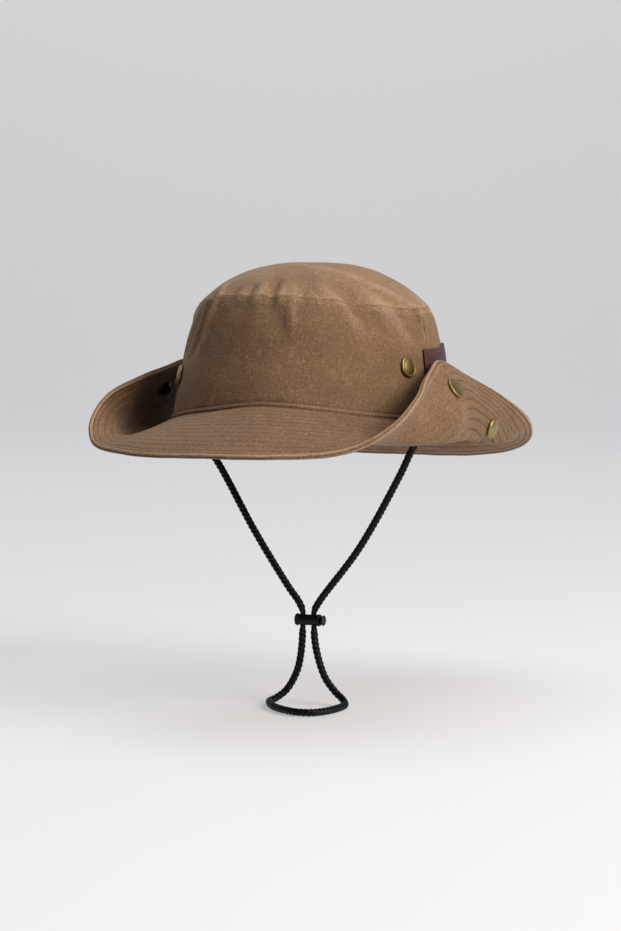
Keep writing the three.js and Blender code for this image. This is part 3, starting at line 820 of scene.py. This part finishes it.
def all_stitches():
    round_it = np.linspace(-180, 180, 721)
    rear = np.linspace(BRIM_SEAM_ANGLE + 2, 358 - BRIM_SEAM_ANGLE, 375)
    sunk = BRIM_FACE - ROW_DEPTH * 1.3
    upper, under, pale = [], [], []
    for row in range(ROW_COUNT):
        ring = 3 - (HEM + row * ROW_SPACING) / BRIM_WIDTH
        upper.append(row_on(brim_skin, round_it, ring, sunk))
        under.append(row_on(brim_skin, rear, ring, -sunk, -1))
    thread_rows("brim_stitches_upper", upper, BROWN_THREAD, radius=0.22)
    thread_rows("brim_stitches_under", under, BROWN_THREAD, radius=0.22)
    for sign in (1, -1):
        ends = [UNDER_SEAM[0][0], *(end for _, end in UNDER_SEAM)]
        places = np.linspace(0, len(ends) - 1, 90)
        angles, rings = (np.interp(places, range(len(ends)), column) for column in zip(*ends))
        pale.append(row_on(brim_skin, sign * angles, rings, 0.35 - BRIM_FACE, -1))
    thread_rows("underside_seam_stitches", pale, PALE_THREAD, length=2.6, radius=0.24)
    base = row_on(crown_skin, round_it, 2 - BASE_STITCH / TOP_SEAM_HEIGHT, -0.25)
    thread_rows("base_stitches", [base], BROWN_THREAD, radius=0.22)
    crown = [row_on(crown_skin, round_it, 1 + TOP_STITCH / TOP_SEAM_HEIGHT, 0.08)]
    for sign, stop in ((1, LEFT_SEAM_STOP), (-1, 1.9)):
        rings = np.linspace(1.03, stop, 60)
        for beside in (-SIDE_STITCH, SIDE_STITCH):
            angles = side_seam_angle(rings, sign) + beside / DEGREE_SPAN
            crown.append(row_on(crown_skin, angles, rings, 0.22))
    thread_rows("crown_stitches", crown, PALE_THREAD, length=2.1, radius=0.24)


def patch_spot(x, y, lift):
    """A spot of the leather patch, x and y from -0.5 to 0.5."""
    angle = (PATCH["from"] + PATCH["to"]) / 2 + x * (PATCH["to"] - PATCH["from"])
    share = PATCH["low"] + (y + 0.5) * (PATCH["high"] - PATCH["low"])
    share = share + PATCH["climb"] * (angle - PATCH["from"])
    way = normal_of(crown_base, angle, 2 - share)
    return crown_base(angle, 2 - share) + way * (PATCH_SEAT + lift)[:, None], way


def leather_patch():
    bm = bmesh.new()
    bmesh.ops.create_grid(bm, x_segments=88, y_segments=54, size=0.5)
    x, y, _ = vertex_places(bm).T
    from_side = (0.5 - abs(x)) * PATCH_WIDTH
    from_end = (0.5 - abs(y)) * PATCH_HEIGHT
    inset = np.minimum(from_side, from_end)
    dip = -0.3 * bell(inset - PATCH_STITCH, 0.45) - 0.35 * bell(inset, 0.5)
    spots, ways = patch_spot(x, y, PATCH_THICKNESS + dip)
    move_vertices(bm, spots)
    piece = object_from(bm, "leather_patch_sewn", PATCH_LEATHER)
    wall = piece.modifiers.new("thickness", "SOLIDIFY")
    wall.thickness = PATCH_THICKNESS * MM
    wall.offset = -1
    round_edges(piece, 0.3)
    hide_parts("leather_patch")
    side = 0.5 - PATCH_STITCH / PATCH_WIDTH
    end = 0.5 - PATCH_STITCH / PATCH_HEIGHT
    corners = [(-side, end), (-side, -end), (side, -end), (side, end)]
    rows = []
    for (x0, y0), (x1, y1) in zip(corners, corners[1:] + corners[:1]):
        x, y = np.linspace(x0, x1, 40), np.linspace(y0, y1, 40)
        rows.append(patch_spot(x, y, PATCH_THICKNESS - 0.2 + 0 * x))
    thread_rows("patch_stitches", rows, BROWN_THREAD, length=2.2, radius=0.3)


def turned(profile, steps=64):
    """A solid turned about Z from a profile of (radius, height), in mm."""
    bm = bmesh.new()
    spots = [bm.verts.new((r * MM, 0, z * MM)) for r, z in profile]
    edges = [bm.edges.new(pair) for pair in zip(spots[:-1], spots[1:])]
    bmesh.ops.spin(bm, geom=spots + edges, cent=(0, 0, 0), axis=(0, 0, 1), angle=2 * math.pi,
                   steps=steps, use_merge=True)
    bmesh.ops.remove_doubles(bm, verts=bm.verts, dist=0.000002)
    return bm


# Profiles of a snap's cap and socket, each point a radius and a height off the cloth, in mm
CAP = [
    (0, -0.3), (5.6, -0.3), (6.1, 0.0), (6.5, 0.3), (6.65, 0.75), (6.62, 1.15), (6.4, 1.5),
    (6.05, 1.66), (5.75, 1.62), (5.5, 1.5), (5.3, 1.5), (4.4, 1.72), (3.2, 1.95), (1.8, 2.1),
    (0.8, 2.15), (0, 2.16),
]
SOCKET = [
    (0, -0.8), (4.7, -0.8), (5, -0.5), (5, 0.5), (4.75, 0.75), (3.8, 0.95), (3.6, 1.2),
    (3.55, 2.2), (3.3, 2.55), (2.6, 2.6), (2.3, 2.4), (2.1, 1.2), (1.9, 0.95), (0, 0.9),
]


def snap(name, node, profile, finish, surface, place, lift, sign):
    """One cap or socket, on the surface's outer face for 1 and on its under face for -1."""
    angle, ring = np.array([place], float).T
    way = normal_of(surface, angle, ring)[0] * sign
    foot = surface(angle, ring)[0] + way * lift
    bm = turned(profile)
    turn = Vector((0, 0, 1)).rotation_difference(Vector(way)).to_matrix().to_4x4()
    bmesh.ops.transform(bm, matrix=Matrix.Translation(Vector(foot) * MM) @ turn, verts=bm.verts)
    piece = object_from(bm, name, finish)
    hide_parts(node)


def all_snaps():
    kinds = [
        ("crown_cap", "crown_snap", "crown", CAP, AGED_BRASS, crown_base, 0.5, 1),
        ("flap_cap", "flap_snap", "flap", CAP, AGED_BRASS, brim_base, BRIM_FACE + 0.35, -1),
        ("flap_ring", "flap_socket", "flap", SOCKET, SHADE_DARKENED_BRASS, brim_base, BRIM_FACE + 0.8, 1),
        ("rear_cap", "rear_snap", "rear", CAP, AGED_BRASS, brim_base, BRIM_FACE + 0.35, -1),
    ]
    for side, places in SNAP_PLACES.items():
        for name, node, kind, *rest, lift, sign in kinds:
            snap(f"{name}_{side}", f"{node}_{side}", *rest, places[kind], lift, sign)


# The cord's route, from the tab on the wearer's right to the tab on the left, in metres
CORD_ROUTE = [
    (-0.0828, -0.0107, -0.0086), (-0.0822, -0.0107, -0.012), (-0.0803, -0.0107, -0.0153),
    (-0.0748, -0.0107, -0.0212), (-0.064, -0.0107, -0.0334), (-0.0356, -0.0107, -0.0798),
    (-0.0114, -0.0107, -0.115), (-0.0046, -0.0107, -0.1236), (-0.0018, -0.0107, -0.1296),
    (-0.0016, -0.0107, -0.1352), (-0.0027, -0.0107, -0.155), (-0.0053, -0.0107, -0.1675),
    (-0.0102, -0.0107, -0.1775), (-0.0148, -0.0116, -0.1836), (-0.0184, -0.0152, -0.1871),
    (-0.0198, -0.0215, -0.1882), (-0.0155, -0.0315, -0.1882), (-0.007, -0.043, -0.1882),
    (0.0035, -0.0515, -0.1882), (0.0145, -0.0565, -0.1882), (0.0245, -0.0545, -0.1882),
    (0.0305, -0.044, -0.1882), (0.0325, -0.031, -0.1882), (0.0322, -0.022, -0.1882),
    (0.0304, -0.016, -0.1877), (0.0266, -0.0122, -0.1852), (0.0212, -0.0107, -0.1809),
    (0.0144, -0.0107, -0.1726), (0.0094, -0.0107, -0.16), (0.0069, -0.0107, -0.1485),
    (0.0062, -0.0107, -0.1352), (0.0065, -0.0107, -0.1294), (0.0102, -0.0107, -0.1228),
    (0.0382, -0.0107, -0.087), (0.0663, -0.0107, -0.0392), (0.0748, -0.0107, -0.0224),
    (0.0805, -0.0107, -0.015), (0.0823, -0.0107, -0.0118), (0.0828, -0.0107, -0.0086),
]


def smooth_route(points, steps):
    """The curve that the source lays through its points, spaced evenly, in metres."""
    p = np.array(points)
    p = np.concatenate([[2 * p[0] - p[1]], p, [2 * p[-1] - p[-2]]])
    t = np.linspace(0, 1, 40, endpoint=False)[:, None]
    line = []
    for a, b, c, d in zip(p[:-3], p[1:-2], p[2:-1], p[3:]):
        first, middle, last = (np.linalg.norm(n - m) ** 0.5 for m, n in ((a, b), (b, c), (c, d)))
        leave = ((b - a) / first - (c - a) / (first + middle) + (c - b) / middle) * middle
        arrive = ((c - b) / middle - (d - b) / (middle + last) + (d - c) / last) * middle
        line.append(cubic(t, b, leave, c, arrive))
    line = np.concatenate([*line, [p[-2]]])
    run = run_along(line)
    return at_places(np.linspace(0, run[-1], steps + 1), run, line), run[-1]


def braid_height(turn, run_mm):
    """Height of a six-strand round braid's surface, from 0 to 1: three strands wind each way,
    and those of one hand stand out, so that the cord looks twisted."""
    heights = []
    for way, level in ((1, 1), (-1, 0.6)):
        strand = BRAID_STRANDS * (turn / (2 * np.pi) + way * run_mm / BRAID_LAY)
        across = abs(strand % 1 - 0.5) * 2
        heights.append(level * np.sqrt(np.clip(1 - across**2, 0, 1)))
    return np.maximum(*heights)


def cord_on_route():
    steps, sides = 1600, 28
    line, length = smooth_route(CORD_ROUTE, steps)
    ahead = unit(np.gradient(line, axis=0))
    side = np.array([0, 1.0, 0])
    sideways = []
    for way in ahead:
        side = unit(side - way * side.dot(way))
        sideways.append(side)
    sideways = np.array(sideways)
    upward = np.cross(ahead, sideways)
    bm = bmesh.new()
    bmesh.ops.create_grid(bm, x_segments=steps, y_segments=sides, size=0.5)
    x, y, _ = vertex_places(bm).T
    step = np.round((x + 0.5) * steps).astype(int)
    turn = np.round((y + 0.5) * sides) / sides * 2 * np.pi
    run_mm = step / steps * length / MM
    # The strands bulge all along, and are squeezed where they pass through the toggle
    below = line[step, 2] / MM - TOGGLE_HEIGHT
    free = smoothstep((abs(below) - 4.5) / 4)
    strands = STRAND_HEIGHT * (0.5 + 0.5 * free) * braid_height(turn, run_mm)
    radius = (CORE_RADIUS + CORE_SWELL * free + strands) * MM
    # It lies on its strands, a little above the bare centreline's height
    lying = 1 - smoothstep((line[step, 2] / MM - LYING - 1) / 6)
    raised = np.array([0, 0, LYING_RAISE * MM]) * lying[:, None]
    around = sideways[step] * np.cos(turn)[:, None] + upward[step] * np.sin(turn)[:, None]
    spots = line[step] + raised + around * radius[:, None]
    for corner, spot in zip(bm.verts, spots):
        corner.co = spot
    bmesh.ops.remove_doubles(bm, verts=bm.verts, dist=0.000001)
    rims = [e for e in bm.edges if e.is_boundary]
    bmesh.ops.holes_fill(bm, edges=rims, sides=0)
    cord = object_from(bm, "braided_cord", BLACK_CORD)
    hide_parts("cord")
    return cord, line, length


# Profiles of the toggle's barrel and button, each point a radius and a place along it, in mm
BARREL = [
    (0, -6.2), (3.3, -6.2), (3.7, -6.05), (3.85, -5.7), (3.85, -4.9), (3.75, -4.6), (3.45, -4.3),
    (3.42, -3.8), (3.5, -1), (3.52, 2), (3.5, 5.4), (3.42, 8.0), (3.45, 8.6), (3.75, 8.8),
    (3.85, 9.1), (3.85, 10.3), (3.72, 10.6), (3.4, 10.7), (2.95, 10.7), (2.72, 10.5), (2.7, 8.5),
    (0, 8.5),
]
BUTTON = [
    (0, 10.2), (2.2, 10.2), (2.4, 10.35), (2.4, 12.2), (2.55, 12.45), (3.2, 12.6), (3.4, 12.8),
    (3.4, 13.15), (3.2, 13.4), (2.8, 13.5), (2.2, 13.42), (0, 13.38),
]
TOGGLE_HOLES = (-1.6, 6.2)
HOLE_RADIUS = 2.1


def toggle_piece(name, node, profile, body):
    bm = turned(profile, 48)
    place = Matrix.Translation(Vector((0, STRAP_Y, TOGGLE_HEIGHT)) * MM)
    lying = Matrix.Rotation(math.pi / 2, 4, "Y")
    bmesh.ops.transform(bm, matrix=place @ lying, verts=bm.verts)
    piece = object_from(bm, name, BLACK_ACETAL, body)
    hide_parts(node)
    return piece


def drilled(piece):
    """Cuts the two cord holes down through the barrel."""
    bm = bmesh.new()
    for x in TOGGLE_HOLES:
        place = Matrix.Translation(Vector((x, STRAP_Y, TOGGLE_HEIGHT)) * MM)
        bmesh.ops.create_cone(bm, cap_ends=True, segments=40, radius1=HOLE_RADIUS * MM,
                              radius2=HOLE_RADIUS * MM, depth=12 * MM, matrix=place)
    drill = plain_object(bm, "drill", smooth=False)
    cut = piece.modifiers.new("holes", "BOOLEAN")
    cut.operation = "DIFFERENCE"
    cut.solver = "EXACT"
    cut.object = drill
    shaped = piece.evaluated_get(bpy.context.evaluated_depsgraph_get())
    piece.data = bpy.data.meshes.new_from_object(shaped)
    piece.modifiers.clear()
    bpy.data.objects.remove(drill)
    round_edges(piece, 0.25, sharper_than=50)


def cord_tab(side, sign):
    """The sewn tab of cloth that holds one end of the cord."""
    bm = bmesh.new()
    bmesh.ops.create_cube(bm, size=1)
    bmesh.ops.subdivide_edges(bm, edges=bm.edges, cuts=7, use_grid_fill=True)
    x, y, z = vertex_places(bm).T
    angle = sign * TAB["angle"] + x * TAB["span"]
    ring = TAB["low"] + (y + 0.5) * (TAB["high"] - TAB["low"])
    lift = -TAB["inside"] - (0.5 - z) * TAB["thick"] * (1 - 0.18 * (2 * abs(y)) ** 4)
    spots = crown_base(angle, ring) + normal_of(crown_base, angle, ring) * lift[:, None]
    move_vertices(bm, spots)
    piece = object_from(bm, f"sewn_tab_{side}", BROWN_TAPE)
    round_edges(piece, 0.5, segments=3)
    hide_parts(f"cord_tab_{side}")


def painted_floor():
    """Matt white paint, which glows a little so that the floor stays pale in soft light."""
    material, node = new_material("matt_white_paint")
    return finish_material(material, node, {
        "Base Color": linear("#bababc"), "Roughness": 0.9,
        "Emission Color": linear("#fcfdff"), "Emission Strength": 0.37,
    })


def studio():
    """A plain pale floor that curves up behind, soft light from above, and the camera."""
    bm = bmesh.new()
    sweep = [(FLOOR_FRONT, 0), (FLOOR_BACK, 0)]
    for turn in np.linspace(0, math.pi / 2, 14)[1:]:
        back = FLOOR_BACK + SWEEP_RADIUS * math.sin(turn)
        sweep.append((back, SWEEP_RADIUS - SWEEP_RADIUS * math.cos(turn)))
    sweep.append((FLOOR_BACK + SWEEP_RADIUS, SWEEP_TOP))
    low = FLOOR_HEIGHT * MM - 0.0004
    spots = [bm.verts.new((-FLOOR_HALF_WIDTH, y, low + z)) for y, z in sweep]
    edges = [bm.edges.new(pair) for pair in zip(spots[:-1], spots[1:])]
    grown = bmesh.ops.extrude_edge_only(bm, edges=edges)["geom"]
    far_side = [part for part in grown if isinstance(part, bmesh.types.BMVert)]
    bmesh.ops.translate(bm, vec=(2 * FLOOR_HALF_WIDTH, 0, 0), verts=far_side)
    facing = Matrix.Rotation(math.radians(CAMERA_TURN), 3, "Z")
    bmesh.ops.rotate(bm, cent=(0, 0, 0), matrix=facing, verts=bm.verts)
    floor = plain_object(bm, "floor")
    floor.data.materials.append(painted_floor())

    def lamp(name, place, target, size, power, colour):
        light = bpy.data.lights.new(name, "AREA")
        light.shape = "RECTANGLE"
        light.size, light.size_y = size
        light.energy = power
        light.color = linear(colour)[:3]
        holder = linked(name, light)
        holder.location = place
        holder.rotation_euler = (Vector(target) - Vector(place)).to_track_quat("-Z", "Y").to_euler()

    lamp("key", (1.88, -0.42, 1.03), (0, 0, 0), (1.5, 1.2), 50, "#fff8ee")
    lamp("overhead", (0, -0.2, 2), (0, 0, 0), (2.6, 2.2), 30, "#fefeff")
    lamp("backdrop_wash", (-0.7, 1.4, 1.9), (-1.7, 3.8, 0.6), (2.4, 1.0), 15, "#fdfdff")
    # A dim room that only looks as pale as the floor past its far edges
    world = bpy.data.worlds.new("soft_room")
    world.use_nodes = True
    room = world.node_tree
    seen = add_node(room, "LightPath").outputs["Is Camera Ray"]
    strength = add_node(room, "Math", [seen, 0.6, 0.04], operation="MULTIPLY_ADD")
    around = room.nodes["Background"].inputs
    around["Color"].default_value = linear("#f1f1f3")
    room.links.new(strength.outputs[0], around["Strength"])
    bpy.context.scene.world = world
    bpy.context.scene.view_settings.view_transform = "Standard"

    camera = bpy.data.cameras.new("camera")
    camera.lens = 100
    camera.sensor_width = 36
    camera.clip_end = 30
    holder = linked("camera", camera)
    holder.location = CAMERA_PLACE
    holder.rotation_euler = (math.radians(CAMERA_TILT), 0, math.radians(CAMERA_TURN))
    bpy.context.scene.camera = holder


studio()
cord, route, cord_length = cord_on_route()
crown_top()
crown_wall()
brim_ply("brim_upper_cloth", "brim_upper", 1)
brim_ply("brim_under_cloth", "brim_under", -1)
all_stitches()
leather_patch()
all_snaps()
barrel = toggle_piece("toggle_shell", "toggle_barrel", BARREL, "hat")
drilled(barrel)
plunger = toggle_piece("toggle_plunger", "toggle_button", BUTTON, "button")
for side, sign in (("left", 1), ("right", -1)):
    cord_tab(side, sign)
